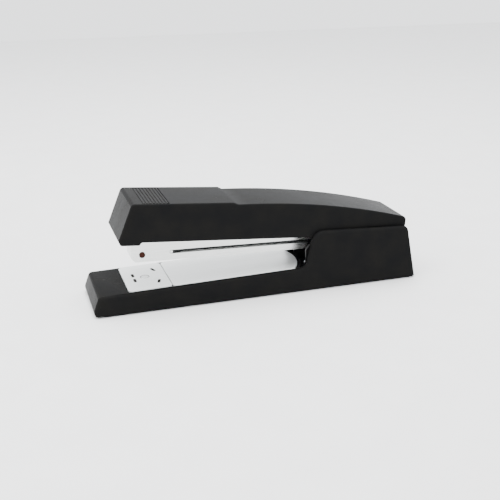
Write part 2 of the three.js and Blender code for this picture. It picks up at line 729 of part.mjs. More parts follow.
// ---- Magazine, with the pin's axis at its origin ----
function slotShape(x0, x1, z, height) {
  return outline([
    [x0, z - height / 2, height / 2.01],
    [x1, z - height / 2, height / 2.01],
    [x1, z + height / 2, height / 2.01],
    [x0, z + height / 2, height / 2.01],
  ]);
}

function magazineChannel() {
  const low = -MAGAZINE_DROP;
  const side = outline([
    [-REACH, low + NOSE_CHAMFER],
    [-REACH + NOSE_CHAMFER, low],
    [MAGAZINE_DROP, low, MAGAZINE_DROP - 1],
    [MAGAZINE_DROP, CHANNEL_TOP, CHANNEL_TOP - 1],
    [-REACH, CHANNEL_TOP, 1],
  ]);
  const whole = solid(across(side, -CHANNEL_OUTER, CHANNEL_OUTER));
  const inside = block(-REACH + NOSE_WALL, 30, -CHANNEL_INNER, CHANNEL_INNER, CHANNEL_FLOOR, 30);
  const exit = block(-REACH + NOSE_WALL, RAIL_FRONT, -CHANNEL_INNER, CHANNEL_INNER, low - 3, 0);
  const wide = CHANNEL_OUTER + 2;
  const slot = across(slotShape(SLOT_FRONT, -SLOT_TO_PIN, SLOT_Z, SLOT_HEIGHT), -wide, wide);
  const hole = rodAlongY(NOSE_HOLE_RADIUS, -wide, wide, NOSE_HOLE_X, NOSE_HOLE_Z);
  const pin = rodAlongY(PIN_RADIUS + GAP, -wide, wide, 0, 0);
  const rivets = RIVET_PLACES.map((x) => rodUpright(RIVET_RADIUS + GAP, x, 0, low - 1, CHANNEL_FLOOR + 1));
  return cut(whole, inside, exit, slot, hole, pin, ...rivets);
}

function stapleRail() {
  const low = CHANNEL_FLOOR + GAP;
  const whole = solid(block(RAIL_FRONT, RAIL_REAR, -RAIL_OUTER, RAIL_OUTER, low, RAIL_TOP));
  const inner = RAIL_OUTER - SHEET;
  const inside = block(RAIL_FRONT - 2, RAIL_REAR + 2, -inner, inner, low - 2, RAIL_TOP - SHEET);
  const wide = RAIL_OUTER + 2;
  const slot = across(slotShape(SLOT_FRONT, -SLOT_TO_PIN, SLOT_Z, SLOT_HEIGHT), -wide, wide);
  const hole = rodAlongY(STUB_RADIUS + GAP / 2, -wide, wide, NOSE_HOLE_X, NOSE_HOLE_Z);
  return cut(whole, inside, slot, hole);
}

function noseBlock() {
  const half = RAIL_OUTER - SHEET - GAP;
  const rear = NOSE_HOLE_X + NOSE_BLOCK_TAIL;
  const body = block(RAIL_FRONT + GAP, rear, -half, half, CHANNEL_FLOOR + GAP, RAIL_TOP - SHEET - GAP);
  const reach = CHANNEL_OUTER - STUB_INSET;
  const stub = rodAlongY(STUB_RADIUS, -reach, reach, NOSE_HOLE_X, NOSE_HOLE_Z);
  const socket = rodAlongX(ROD_RADIUS + GAP, rear - ROD_SOCKET, rear + 2, 0, ROD_Z);
  const rivet = rodUpright(RIVET_RADIUS + GAP, RIVET_PLACES[0], 0, -20, 20);
  return cut(joined(body, stub), socket, rivet);
}

function rearBlock() {
  const front = RAIL_REAR + GAP;
  const rear = front + BLOCK_LENGTH;
  const half = CHANNEL_INNER - GAP;
  const body = block(front, rear, -half, half, CHANNEL_FLOOR + GAP, BLOCK_TOP);
  const socket = rodAlongX(ROD_RADIUS + GAP, front - 2, front + ROD_SOCKET, 0, ROD_Z);
  const rivet = rodUpright(RIVET_RADIUS + GAP, RIVET_PLACES[1], 0, -20, 20);
  return cut(solid(body), socket, rivet);
}

function railRivet(x, top) {
  const low = -MAGAZINE_DROP + 0.1;
  return rodUpright(RIVET_RADIUS, x, 0, low, top, 20);
}

function pusherRod() {
  const front = NOSE_HOLE_X + NOSE_BLOCK_TAIL - ROD_SOCKET + GAP;
  return rodAlongX(ROD_RADIUS, front, RAIL_REAR + ROD_SOCKET, 0, ROD_Z);
}

function hingeBush() {
  const half = CHANNEL_INNER - GAP;
  const inner = PIN_RADIUS + GAP;
  const outer = PIN_RADIUS + 1.6;
  const profile = [[inner, -half], [outer, -half], [outer, half], [inner, half], [inner, -half]];
  return new THREE.LatheGeometry(profile.map(([r, y]) => new THREE.Vector2(r, y)), 24);
}

// ---- Pusher: a saddle over the rail, and a carrier inside it with a peg through each slot ----
function pusherSaddle() {
  const front = RAIL_FRONT + GAP;
  const rear = front + PUSHER_LENGTH;
  const half = CHANNEL_INNER - 0.2;
  const legInner = half - PUSHER_SHEET;
  const low = SLOT_Z - PUSHER_SKIRT;
  const step = NOSE_HOLE_X + NOSE_HOLE_RADIUS + 2 * GAP;
  const brow = NOSE_HOLE_Z + NOSE_HOLE_RADIUS + GAP;
  const side = outline([
    [front, brow],
    [step, brow],
    [step, low],
    [rear - 4, low],
    [rear, low + 4],
    [rear, RAIL_TOP + PUSHER_HEAD, 1.5],
    [front, RAIL_TOP + PUSHER_HEAD - 0.6, 0.8],
  ]);
  const whole = solid(across(side, -half, half));
  const rail = block(front - 2, rear + 2, -legInner, legInner, low - 2, RAIL_TOP + GAP);
  const peg = rodAlongY(PEG_RADIUS + GAP, -half - 2, half + 2, PEG_X, SLOT_Z);
  return cut(whole, rail, peg);
}

function pusherCarrier() {
  const half = RAIL_OUTER - SHEET - GAP;
  const front = PEG_X - CARRIER_AHEAD;
  const top = RAIL_TOP - SHEET - GAP;
  const body = block(front, front + CARRIER_LENGTH, -half, half, CHANNEL_FLOOR + 2 * GAP, top);
  const peg = rodAlongY(PEG_RADIUS, -CHANNEL_OUTER + 0.1, CHANNEL_OUTER - 0.1, PEG_X, SLOT_Z, 20);
  const bore = rodAlongX(ROD_RADIUS + GAP, front - 2, front + CARRIER_LENGTH + 2, 0, ROD_Z);
  return cut(joined(body, peg), bore);
}

function pusherSpring() {
  const x0 = PEG_X - CARRIER_AHEAD + CARRIER_LENGTH + GAP;
  const x1 = RAIL_REAR;
  const inner = ROD_RADIUS + SPRING_CLEARANCE;
  const outer = inner + SPRING_WALL;
  const profile = [[inner, x0], [outer, x0], [outer, x1], [inner, x1], [inner, x0]];
  const geometry = new THREE.LatheGeometry(profile.map(([r, y]) => new THREE.Vector2(r, y)), 16);
  geometry.rotateZ(-Math.PI / 2);
  return geometry.translate(0, 0, ROD_Z);
}

// ---- Handle, with the pin's axis at its origin ----
function archZ(x, inset) {
  const radius = ARCH_RADIUS - inset;
  const along = x + ARCH_AHEAD;
  return ARCH_TOP - ARCH_RADIUS + Math.sqrt(radius * radius - along * along);
}

// Points along the arch, from the tail forward.
function archPoints(from, to, inset, steps = 14) {
  const points = [];
  for (let i = 0; i <= steps; i += 1) {
    const x = from + ((to - from) * i) / steps;
    points.push([x, archZ(x, inset)]);
  }
  return points;
}

// The top of the cover from the tail forward, down to the top of the front face.
function coverTop() {
  return [
    ...archPoints(TAIL_LENGTH - TAIL_ROUND, STEP_FOOT_X, 0),
    [STEP_X, CAP_TOP],
    [CAP_FRONT_TOP, CAP_TOP, 2.4],
  ];
}

function coverOutline() {
  return outline([
    [COVER_FRONT + 1.2, CAP_LIP, 1.4],
    [COVER_FRONT + LIP_LENGTH, CAP_LIP, 0.6],
    [COVER_FRONT + LIP_LENGTH + 1.2, COVER_LEDGE, 0.6],
    [-22, COVER_LEDGE, 6],
    [-10, TAIL_LEDGE, 6],
    [TAIL_LENGTH, TAIL_LEDGE - TAIL_SAG, TAIL_ROUND],
    [TAIL_LENGTH, archZ(TAIL_LENGTH, 0), TAIL_ROUND],
    ...coverTop(),
    [COVER_FRONT, CAP_LIP + LIP_HEIGHT, 1.2],
  ]);
}

// The same outline carried straight down, so that only the upper edges are rounded.
function coverBlank() {
  const drop = 12;
  const low = CAP_LIP + LIP_HEIGHT;
  const slope = CAP_SLANT / (CAP_TOP - low);
  return outline([
    [COVER_FRONT - slope * drop, low - drop],
    [TAIL_LENGTH, low - drop],
    [TAIL_LENGTH, archZ(TAIL_LENGTH, 0), TAIL_ROUND],
    ...coverTop(),
  ]);
}

function coverHollow() {
  const wall = COVER_WALL;
  return outline([
    [COVER_FRONT + wall + GAP, -20],
    [TAIL_LENGTH - wall, -20],
    ...archPoints(TAIL_LENGTH - wall, STEP_FOOT_X + 2, wall),
    [CAP_FRONT_TOP + wall, archZ(STEP_FOOT_X + 2, wall)],
    [COVER_FRONT + wall + GAP, CAP_LIP + LIP_HEIGHT],
  ]);
}

// The sides come closer together from the nose to the tail.
function tapered(geometry) {
  const position = geometry.attributes.position;
  const length = TAIL_LENGTH - COVER_FRONT;
  for (let i = 0; i < position.count; i += 1) {
    const along = (position.getX(i) - COVER_FRONT) / length;
    const y = position.getY(i);
    position.setY(i, y * (1 - (along * COVER_TAPER) / COVER_NOSE_HALF));
  }
  return geometry;
}

function frameTop(x) {
  return archZ(Math.max(x, STEP_FOOT_X + 2), COVER_WALL) - FRAME_GAP;
}

function handleCover() {
  const blank = tapered(across(coverBlank(), -COVER_NOSE_HALF, COVER_NOSE_HALF, COVER_EDGE_ROUND));
  const side = across(coverOutline(), -COVER_NOSE_HALF - 1, COVER_NOSE_HALF + 1);
  const shell = solid(blank).intersect(solid(side));
  const inner = COVER_NOSE_HALF - COVER_WALL;
  const hollow = tapered(across(coverHollow(), -inner, inner));
  const pocket = upward(panelPlan(0), CAP_TOP - PANEL_POCKET, CAP_TOP + 3);
  let cover = cut(shell, hollow);
  for (const x of COVER_SCREWS) {
    const foot = frameTop(x - COVER_BOSS_RADIUS) + GAP;
    const root = frameTop(x) + FRAME_GAP + COVER_WALL / 2;
    cover = cover.add(solid(rodUpright(COVER_BOSS_RADIUS, x, 0, foot, root)));
    cover = cut(cover, rodUpright(COVER_SCREW_RADIUS + GAP, x, 0, foot - 4, foot + 2.2));
  }
  return cut(cover, pocket);
}

function panelPlan(inset) {
  const front = CAP_FRONT_TOP + PANEL_FROM_FRONT + inset;
  const rear = front + PANEL_LENGTH - 2 * inset;
  const half = COVER_NOSE_HALF - PANEL_MARGIN - inset;
  return rectangle(front, rear, half, PANEL_ROUND, PANEL_ROUND);
}

function gripPanel() {
  const floor = CAP_TOP - PANEL_POCKET + 0.05;
  const base = upward(panelPlan(PANEL_FIT), floor, floor + PANEL_BASE);
  const front = CAP_FRONT_TOP + PANEL_FROM_FRONT;
  const pitch = PANEL_LENGTH / RIB_COUNT;
  const half = COVER_NOSE_HALF - PANEL_MARGIN - RIB_INSET;
  const ribs = [];
  for (let i = 0; i < RIB_COUNT; i += 1) {
    const x = front + (i + 0.5) * pitch;
    ribs.push(block(x - pitch / 4, x + pitch / 4, -half, half, floor + 0.1, floor + PANEL_BASE + RIB_HEIGHT));
  }
  return joined(base, ...ribs);
}

function handleFrame() {
  const front = -DRIVER_REACH + BLADE_THICKNESS / 2 + GAP;
  const rear = TAIL_LENGTH - COVER_WALL - 1.5;
  const flat = frameTop(front);
  const web = [...archPoints(rear, STEP_FOOT_X + 2, FRAME_INSET), [front, flat]];
  const sideLow = flat - FRAME_SIDE;
  const side = outline([
    [front, flat - FRAME_NOSE_SIDE],
    [front + 4, flat - FRAME_NOSE_SIDE],
    [front + 10, sideLow],
    [-60, sideLow],
    [-14, -1, 4],
    [-2, -BRACKET_BOSS + 0.5, 4],
    [BRACKET_BOSS - 0.5, -BRACKET_BOSS + 0.5, 4],
    [rear, 4],
    ...web,
  ]);
  const whole = solid(across(side, -FRAME_OUTER, FRAME_OUTER));
  const under = outline([
    [front + FRAME_WALL + BLADE_SLACK, -30],
    [rear + 2, -30],
    ...archPoints(rear + 2, STEP_FOOT_X + 2, FRAME_INSET + FRAME_WALL),
    [front + FRAME_WALL + BLADE_SLACK, flat - FRAME_WALL],
  ]);
  const inside = across(under, -FRAME_INNER, FRAME_INNER);
  const pin = rodAlongY(PIN_RADIUS + GAP, -FRAME_OUTER - 2, FRAME_OUTER + 2, 0, 0);
  const screws = COVER_SCREWS.map((x) => rodUpright(COVER_SCREW_RADIUS + GAP, x, 0, 0, 40));
  return cut(whole, inside, pin, ...screws, ...bladeRivets(GAP));
}

function bladeTop() {
  return frameTop(-DRIVER_REACH) - BLADE_TO_FRAME;
}

function driverBlade() {
  const x = -DRIVER_REACH;
  const half = BLADE_WIDTH / 2;
  const tip = -MAGAZINE_DROP + BLADE_LIFT;
  const blade = block(x - BLADE_THICKNESS / 2, x + BLADE_THICKNESS / 2, -half, half, tip, bladeTop());
  return cut(solid(blade), ...bladeRivets(GAP));
}

function bladeRivetZ() {
  return bladeTop() - BLADE_RIVET_DROP;
}

function bladeRivets(extra) {
  return [-1, 1].map((side) => rodAlongX(
    BLADE_RIVET_RADIUS + extra,
    -DRIVER_REACH - 3,
    -DRIVER_REACH + 3,
    side * BLADE_RIVET_SPREAD,
    bladeRivetZ(),
  ));
}

function bladeRivet(side) {
  const back = BLADE_THICKNESS / 2 + GAP + FRAME_WALL + BLADE_SLACK + GAP / 2;
  const front = -BLADE_THICKNESS / 2 - GAP / 2;
  const head = BLADE_RIVET_HEAD;
  const profile = [
    [0, front - 0.8],
    [head - 0.5, front - 0.8],
    [head, front - 0.3],
    [head, front],
    [BLADE_RIVET_RADIUS, front],
    [BLADE_RIVET_RADIUS, back],
    [head - 0.2, back],
    [head - 0.2, back + 0.6],
    [0, back + 0.6],
  ];
  const geometry = new THREE.LatheGeometry(profile.map(([r, y]) => new THREE.Vector2(r, y)), 20);
  geometry.rotateZ(-Math.PI / 2);
  return geometry.translate(-DRIVER_REACH, side * BLADE_RIVET_SPREAD, bladeRivetZ());
}

function coverScrew(x) {
  const slope = 0.5;
  const seat = frameTop(x) - FRAME_WALL - GAP - slope;
  return turned([
    [0, seat - 1.7],
    [COVER_SCREW_HEAD - 0.8, seat - 1.7],
    [COVER_SCREW_HEAD, seat - 1.0],
    [COVER_SCREW_HEAD, seat],
    [COVER_SCREW_RADIUS, seat],
    [COVER_SCREW_RADIUS, frameTop(x) + GAP + 1.8],
    [0, frameTop(x) + GAP + 1.8],
  ], x, 0, 24);
}

// A leaf from under the frame down to the rear block of the magazine.
function handleSpring() {
  const x0 = HANDLE_SPRING_ROOT;
  const top = frameTop(x0) - FRAME_WALL - GAP - 0.4;
  const relative = rad(HANDLE_TILT - MAGAZINE_TILT);
  const tip = HANDLE_SPRING_TIP;
  const seat = tip * Math.sin(relative) + BLOCK_TOP + GAP + 0.5;
  const leaf = outline([
    [x0, top - LEAF],
    [x0 + 10, top - LEAF, 3],
    [tip - 3, seat, 3],
    [tip + 2, seat + 0.6],
    [tip + 2, seat + 1.4],
    [tip - 3, seat + LEAF, 3],
    [x0 + 10, top, 3],
    [x0, top],
  ]);
  return across(leaf, -HANDLE_SPRING_WIDTH / 2, HANDLE_SPRING_WIDTH / 2);
}

// ---- Assembly ----
function groupAt(x, z, tilt, ...meshes) {
  const group = new THREE.Group();
  group.position.set(x, 0, z);
  group.rotation.y = rad(tilt);
  group.add(...meshes);
  return group;
}

const base = new THREE.Group();
base.add(
  piece('base_casing', baseCasing(), BLACK_ENAMEL),
  piece('base_sole', baseSole(), RUBBER),
  piece('hinge_bracket', hingeBracket(), BLACK_STEEL),
  piece('bracket_screw_front', bracketScrew(SCREW_PLACES[0]), BRUSHED_STEEL),
  piece('bracket_screw_rear', bracketScrew(SCREW_PLACES[1]), BRUSHED_STEEL),
  piece('hinge_pin', hingePin(), BRUSHED_STEEL),
  piece('pin_ring_left', pinRing(1), SPRING_STEEL),
  piece('pin_ring_right', pinRing(-1), SPRING_STEEL),
  piece('lift_spring', liftSpring(), SPRING_STEEL),
);

const deck = groupAt(
  CLINCH_X,
  deckZ(CLINCH_X),
  -DECK_TILT,
  piece('base_plate', basePlate(), BRIGHT_PLATE),
  piece('anvil_plate', anvilPlate(), BRIGHT_PLATE),
  piece('anvil_post', anvilPost(), BRUSHED_STEEL),
  piece('anvil_spring', anvilSpring(), SPRING_STEEL),
);

const magazine = groupAt(
  PIN_X,
  PIN_HEIGHT,
  MAGAZINE_TILT,
  piece('magazine_channel', magazineChannel(), BRUSHED_STEEL),
  piece('staple_rail', stapleRail(), BRUSHED_STEEL),
  piece('nose_block', noseBlock(), BROWN_PLASTIC),
  piece('rear_block', rearBlock(), PANEL_PLASTIC),
  piece('rail_rivet_front', railRivet(RIVET_PLACES[0], RAIL_TOP - SHEET - 2 * GAP), BRUSHED_STEEL),
  piece('rail_rivet_rear', railRivet(RIVET_PLACES[1], BLOCK_TOP - GAP), BRUSHED_STEEL),
  piece('pusher_rod', pusherRod(), BRUSHED_STEEL),
  piece('hinge_bush', hingeBush(), BRUSHED_STEEL),
  piece('pusher_saddle', pusherSaddle(), BLACK_STEEL),
  piece('pusher_carrier', pusherCarrier(), BRUSHED_STEEL),
  piece('pusher_spring', pusherSpring(), SPRING_STEEL),
);

const handle = groupAt(
  PIN_X,
  PIN_HEIGHT,
  HANDLE_TILT,
  piece('handle_cover', handleCover(), BLACK_ENAMEL),
  piece('grip_panel', gripPanel(), PANEL_PLASTIC),
  piece('handle_frame', handleFrame(), BRUSHED_STEEL),
  piece('driver_blade', driverBlade(), BRUSHED_STEEL),
  piece('blade_rivet_left', bladeRivet(1), BRUSHED_STEEL),
  piece('blade_rivet_right', bladeRivet(-1), BRUSHED_STEEL),
  piece('cover_screw_front', coverScrew(COVER_SCREWS[0]), BRUSHED_STEEL),
  piece('cover_screw_rear', coverScrew(COVER_SCREWS[1]), BRUSHED_STEEL),
  piece('handle_spring', handleSpring(), SPRING_STEEL),
);

const stapler = new THREE.Group();
stapler.add(base, deck, magazine, handle);

export default stapler;
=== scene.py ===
"""The looks of a full-strip desk stapler: black satin enamel, bright plates, brushed magazine."""

import json
import math

import bmesh
import bpy
from mathutils import Matrix, Vector


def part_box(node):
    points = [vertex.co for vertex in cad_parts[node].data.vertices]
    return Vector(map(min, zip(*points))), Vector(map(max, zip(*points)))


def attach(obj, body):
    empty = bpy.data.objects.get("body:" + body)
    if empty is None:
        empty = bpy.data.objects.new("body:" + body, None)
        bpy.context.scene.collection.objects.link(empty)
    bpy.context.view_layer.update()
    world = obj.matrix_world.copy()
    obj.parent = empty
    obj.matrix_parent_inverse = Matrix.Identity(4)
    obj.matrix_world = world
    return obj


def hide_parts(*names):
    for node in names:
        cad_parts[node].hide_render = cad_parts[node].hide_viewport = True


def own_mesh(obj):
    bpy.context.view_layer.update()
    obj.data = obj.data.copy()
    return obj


MM = 0.001

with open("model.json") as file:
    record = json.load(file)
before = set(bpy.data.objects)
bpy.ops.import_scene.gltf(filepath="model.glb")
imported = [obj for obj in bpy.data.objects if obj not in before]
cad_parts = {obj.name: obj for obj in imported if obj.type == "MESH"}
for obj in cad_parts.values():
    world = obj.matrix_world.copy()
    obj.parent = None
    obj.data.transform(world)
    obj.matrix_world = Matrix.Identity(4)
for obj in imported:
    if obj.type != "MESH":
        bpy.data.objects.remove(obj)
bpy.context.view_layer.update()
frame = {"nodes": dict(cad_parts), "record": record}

# ---- Places and sizes that the CAD model sets, in metres and radians ----
DECK_TILT = math.radians(1.15)
LIFT = Vector((-math.sin(DECK_TILT), 0, math.cos(DECK_TILT)))  # square to the deck

# ---- How finely the pieces are drawn ----
COIL_STEPS = 14  # points in one turn of a spring
WIRE_SIDES = 8
SMOOTH_ANGLE = math.radians(38)  # sharper edges stay sharp in the shading
ROUNDED_ANGLE = math.radians(35)  # sharper edges are rounded
FLAT_ANGLE = math.radians(0.6)  # faces closer than this become one
WELD = 0.002 * MM

# ---- Springs ----
PUSHER_WIRE = 0.22 * MM
PUSHER_COIL_RADIUS = 1.85 * MM
PUSHER_COIL_INSET = 2.1 * MM  # of the coil's axis from the top of its box
PUSHER_TURNS = 58
PUSHER_CLOSED_TURNS = 3
ANVIL_WIRE = 0.35 * MM
ANVIL_COIL_RADIUS = 4.7 * MM
ANVIL_COIL_CLEARANCE = 0.25 * MM
ANVIL_TURNS = 5
ANVIL_CLOSED_TURNS = 1
END_TURN_PITCH = 0.25  # of an open turn's

# ---- Painted shade on parts of pieces ----
GROOVE_DEPTH = 0.1 * MM  # faces this far below the top of the anvil get painted shade
GROOVE_MARGIN = 1.5 * MM  # kept clear of the anvil's edges
FACES_DOWN = -0.5
FACES_SIDEWAYS = 0.3
PEG_END_SHOWN = 0.4 * MM  # the length at each end of the pusher's peg left bright, outside the painted shade


# ---- Node helpers ----
def new_material(name):
    material = bpy.data.materials.new(name)
    material.use_nodes = True
    shader = material.node_tree.nodes["Principled BSDF"]
    return material, material.node_tree, shader


def node(tree, kind, **inputs):
    made = tree.nodes.new(kind)
    for name, value in inputs.items():
        made.inputs[name.replace("_", " ")].default_value = value
    return made


def object_coordinates(tree, scale=(1, 1, 1)):
    place = tree.nodes.new("ShaderNodeTexCoord")
    mapping = node(tree, "ShaderNodeMapping", Scale=scale)
    tree.links.new(place.outputs["Object"], mapping.inputs["Vector"])
    return mapping.outputs["Vector"]


def noise(tree, vector, scale, detail=3.0, roughness=0.5):
    made = node(tree, "ShaderNodeTexNoise", Scale=scale, Detail=detail, Roughness=roughness)
    tree.links.new(vector, made.inputs["Vector"])
    return made.outputs["Fac"]


def remap(tree, value, low, high):
    """Spreads the middle of a noise from low to high."""
    made = node(tree, "ShaderNodeMapRange", From_Min=0.3, From_Max=0.7, To_Min=low, To_Max=high)
    tree.links.new(value, made.inputs["Value"])
    return made.outputs["Result"]


def mix_colour(tree, factor, low, high):
    ramp = tree.nodes.new("ShaderNodeValToRGB")
    ramp.color_ramp.elements[0].position = 0.35
    ramp.color_ramp.elements[0].color = (*low, 1)
    ramp.color_ramp.elements[1].position = 0.65
    ramp.color_ramp.elements[1].color = (*high, 1)
    tree.links.new(factor, ramp.inputs["Fac"])
    return ramp.outputs["Color"]


def add_bump(tree, shader, height, distance):
    bump = node(tree, "ShaderNodeBump", Strength=1.0, Distance=distance)
    tree.links.new(height, bump.inputs["Height"])
    tree.links.new(bump.outputs["Normal"], shader.inputs["Normal"])


# ---- Materials ----
def black_enamel():
    """Baked enamel: nearly black, satin, with a faint orange peel and a soft cloudiness."""
    material, tree, shader = new_material("black_enamel")
    grain = object_coordinates(tree)
    clouds = noise(tree, grain, 90.0, 4.0)
    colour = mix_colour(tree, clouds, (0.0068, 0.0069, 0.0072), (0.0086, 0.0084, 0.0080))
    tree.links.new(colour, shader.inputs["Base Color"])
    tree.links.new(remap(tree, clouds, 0.20, 0.28), shader.inputs["Roughness"])
    shader.inputs["Specular IOR Level"].default_value = 0.01
    peel = noise(tree, grain, 2600.0, 2.0)
    add_bump(tree, shader, peel, 0.022 * MM)
    return material


def bright_plate():
    """Pale satin plate with hairline polishing marks along it."""
    material, tree, shader = new_material("bright_plate")
    hairs = noise(tree, object_coordinates(tree, (40, 1500, 1500)), 1.0, 3.0)
    colour = mix_colour(tree, hairs, (0.84, 0.86, 0.855), (0.90, 0.915, 0.91))
    tree.links.new(colour, shader.inputs["Base Color"])
    tree.links.new(remap(tree, hairs, 0.30, 0.40), shader.inputs["Roughness"])
    shader.inputs["Metallic"].default_value = 0.55
    add_bump(tree, shader, hairs, 0.003 * MM)
    return material


def brushed_steel(name, colours, roughness, grain):
    """Steel with a fine grain, each number of grain being how finely it varies along X, Y and Z."""
    material, tree, shader = new_material(name)
    lines = noise(tree, object_coordinates(tree, grain), 1.0, 5.0, 0.6)
    tree.links.new(mix_colour(tree, lines, *colours), shader.inputs["Base Color"])
    tree.links.new(remap(tree, lines, *roughness), shader.inputs["Roughness"])
    shader.inputs["Metallic"].default_value = 1.0
    shader.inputs["Anisotropic"].default_value = 0.35
    add_bump(tree, shader, lines, 0.006 * MM)
    return material


def black_steel():
    """Black oxide on steel: dark, metallic, a little uneven."""
    material, tree, shader = new_material("black_steel")
    grain = object_coordinates(tree)
    patches = noise(tree, grain, 260.0, 5.0)
    colour = mix_colour(tree, patches, (0.018, 0.018, 0.019), (0.035, 0.034, 0.034))
    tree.links.new(colour, shader.inputs["Base Color"])
    tree.links.new(remap(tree, patches, 0.28, 0.42), shader.inputs["Roughness"])
    shader.inputs["Metallic"].default_value = 0.6
    add_bump(tree, shader, patches, 0.01 * MM)
    return material


def moulded(name, colours, roughness, grain_scale, grain_depth):
    """Moulded rubber or plastic, or a dark painted shade, with a fine matte grain."""
    material, tree, shader = new_material(name)
    place = object_coordinates(tree)
    clouds = noise(tree, place, 300.0, 3.0)
    tree.links.new(mix_colour(tree, clouds, *colours), shader.inputs["Base Color"])
    tree.links.new(remap(tree, clouds, *roughness), shader.inputs["Roughness"])
    shader.inputs["Specular IOR Level"].default_value = 0.06
    grain = noise(tree, place, grain_scale, 3.0)
    add_bump(tree, shader, grain, grain_depth)
    return material


ENAMEL = black_enamel()
PLATE = bright_plate()
STEEL = brushed_steel(
    "brushed_steel",
    colours=((0.62, 0.63, 0.62), (0.72, 0.73, 0.715)),
    roughness=(0.2, 0.34),
    grain=(60, 2400, 2400),
)
FITTING = brushed_steel(
    "zinc_fitting",
    colours=((0.55, 0.56, 0.57), (0.68, 0.69, 0.7)),
    roughness=(0.25, 0.4),
    grain=(900, 900, 900),
)
# Darker than the magazine's steel: partly spring steel's own tone, partly painted shade so that the
# pusher coil seen through the magazine's slot reads dark
SPRING = brushed_steel(
    "spring_steel",
    colours=((0.3, 0.31, 0.32), (0.45, 0.46, 0.47)),
    roughness=(0.25, 0.4),
    grain=(1200, 1200, 1200),
)
BLACK_STEEL = black_steel()
# Painted shade: a near-black colour that stands in for the shade in the anvil's grooves and on the
# sides of its post
SHADE_PAINT = moulded(
    "painted_shade",
    colours=((0.012, 0.011, 0.010), (0.05, 0.047, 0.043)),
    roughness=(0.4, 0.6),
    grain_scale=2500.0,
    grain_depth=0.02 * MM,
)
RUBBER = moulded(
    "sole_rubber",
    colours=((0.010, 0.010, 0.011), (0.018, 0.018, 0.019)),
    roughness=(0.7, 0.85),
    grain_scale=3000.0,
    grain_depth=0.04 * MM,
)
BROWN = moulded(
    "brown_plastic",
    colours=((0.030, 0.009, 0.006), (0.050, 0.016, 0.010)),
    roughness=(0.4, 0.55),
    grain_scale=1800.0,
    grain_depth=0.02 * MM,
)
PANEL = moulded(
    "panel_plastic",
    colours=((0.008, 0.008, 0.0085), (0.017, 0.0165, 0.016)),
    roughness=(0.45, 0.6),
    grain_scale=3600.0,
    grain_depth=0.03 * MM,
)


# ---- Mesh helpers ----
def placed(mesh_object):
    bpy.context.scene.collection.objects.link(mesh_object)
    return mesh_object


def apply_modifiers(piece):
    depsgraph = bpy.context.evaluated_depsgraph_get()
    mesh = bpy.data.meshes.new_from_object(piece.evaluated_get(depsgraph))
    piece.modifiers.clear()
    piece.data = mesh


def smooth(piece):
    """Shades smooth except over sharp edges."""
    mesh = piece.data
    mesh.shade_smooth()
    mesh.set_sharp_from_angle(angle=SMOOTH_ANGLE)


def finer(name, source, material, edge, segments):
    """A finer mesh of a CAD node: flat faces whole again, sharp edges rounded, and smooth shading."""
    mesh = frame["nodes"][source].data.copy()
    piece = placed(bpy.data.objects.new(name, mesh))
    shape = bmesh.new()
    shape.from_mesh(mesh)
    bmesh.ops.remove_doubles(shape, verts=shape.verts, dist=WELD)
    bmesh.ops.dissolve_limit(
        shape,
        angle_limit=FLAT_ANGLE,
        use_dissolve_boundaries=False,
        verts=shape.verts,
        edges=shape.edges,
    )
    shape.to_mesh(mesh)
    shape.free()
    bevel = piece.modifiers.new("edges", "BEVEL")
    bevel.width = edge
    bevel.segments = segments
    bevel.limit_method = "ANGLE"
    bevel.angle_limit = ROUNDED_ANGLE
    bevel.use_clamp_overlap = True
    weighted = piece.modifiers.new("flat faces stay flat", "WEIGHTED_NORMAL")
    weighted.keep_sharp = True
    smooth(piece)
    apply_modifiers(piece)
    piece.data.materials.clear()
    piece.data.materials.append(material)
    return stands_for(piece, source)


def stands_for(piece, source):
    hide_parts(source)
    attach(piece, BODY_OF[source])
    return piece


BODY_OF = {
    name: body
    for body, names in frame["record"]["behaviour"]["bodies"].items()
    for name in names
}


def tube(name, points, radius, material):
    """A round wire through points, as a mesh."""
    curve = bpy.data.curves.new(name, "CURVE")
    curve.dimensions = "3D"
    curve.bevel_depth = radius
    curve.bevel_resolution = WIRE_SIDES // 4
    curve.use_fill_caps = True
    spline = curve.splines.new("POLY")
    spline.points.add(len(points) - 1)
    for target, point in zip(spline.points, points):
        target.co = (*point, 1)
    wire = placed(bpy.data.objects.new(name + "_curve", curve))
    depsgraph = bpy.context.evaluated_depsgraph_get()
    mesh = bpy.data.meshes.new_from_object(wire.evaluated_get(depsgraph))
    bpy.data.objects.remove(wire)
    mesh.shade_smooth()
    mesh.materials.append(material)
    return placed(bpy.data.objects.new(name, mesh))


def coil(start, axis, length, radius, turns, closed_turns):
    """Points of a coil spring with closed ends, from start along axis."""
    axis = axis.normalized()
    side = axis.orthogonal().normalized()
    up = axis.cross(side)
    points = []
    count = int(turns * COIL_STEPS)
    for i in range(count + 1):
        turn = i / COIL_STEPS
        share = closed_share(turn, turns, closed_turns)
        angle = 2 * math.pi * turn
        spoke = side * math.cos(angle) + up * math.sin(angle)
        points.append(start + axis * length * share + spoke * radius)
    return points


def closed_share(turn, turns, closed):
    """How far along a spring a turn lies: the end turns lie close together."""
    total = 2 * closed * END_TURN_PITCH + (turns - 2 * closed)
    if turn < closed:
        return turn * END_TURN_PITCH / total
    if turn < turns - closed:
        return (closed * END_TURN_PITCH + turn - closed) / total
    return 1 - (turns - turn) * END_TURN_PITCH / total


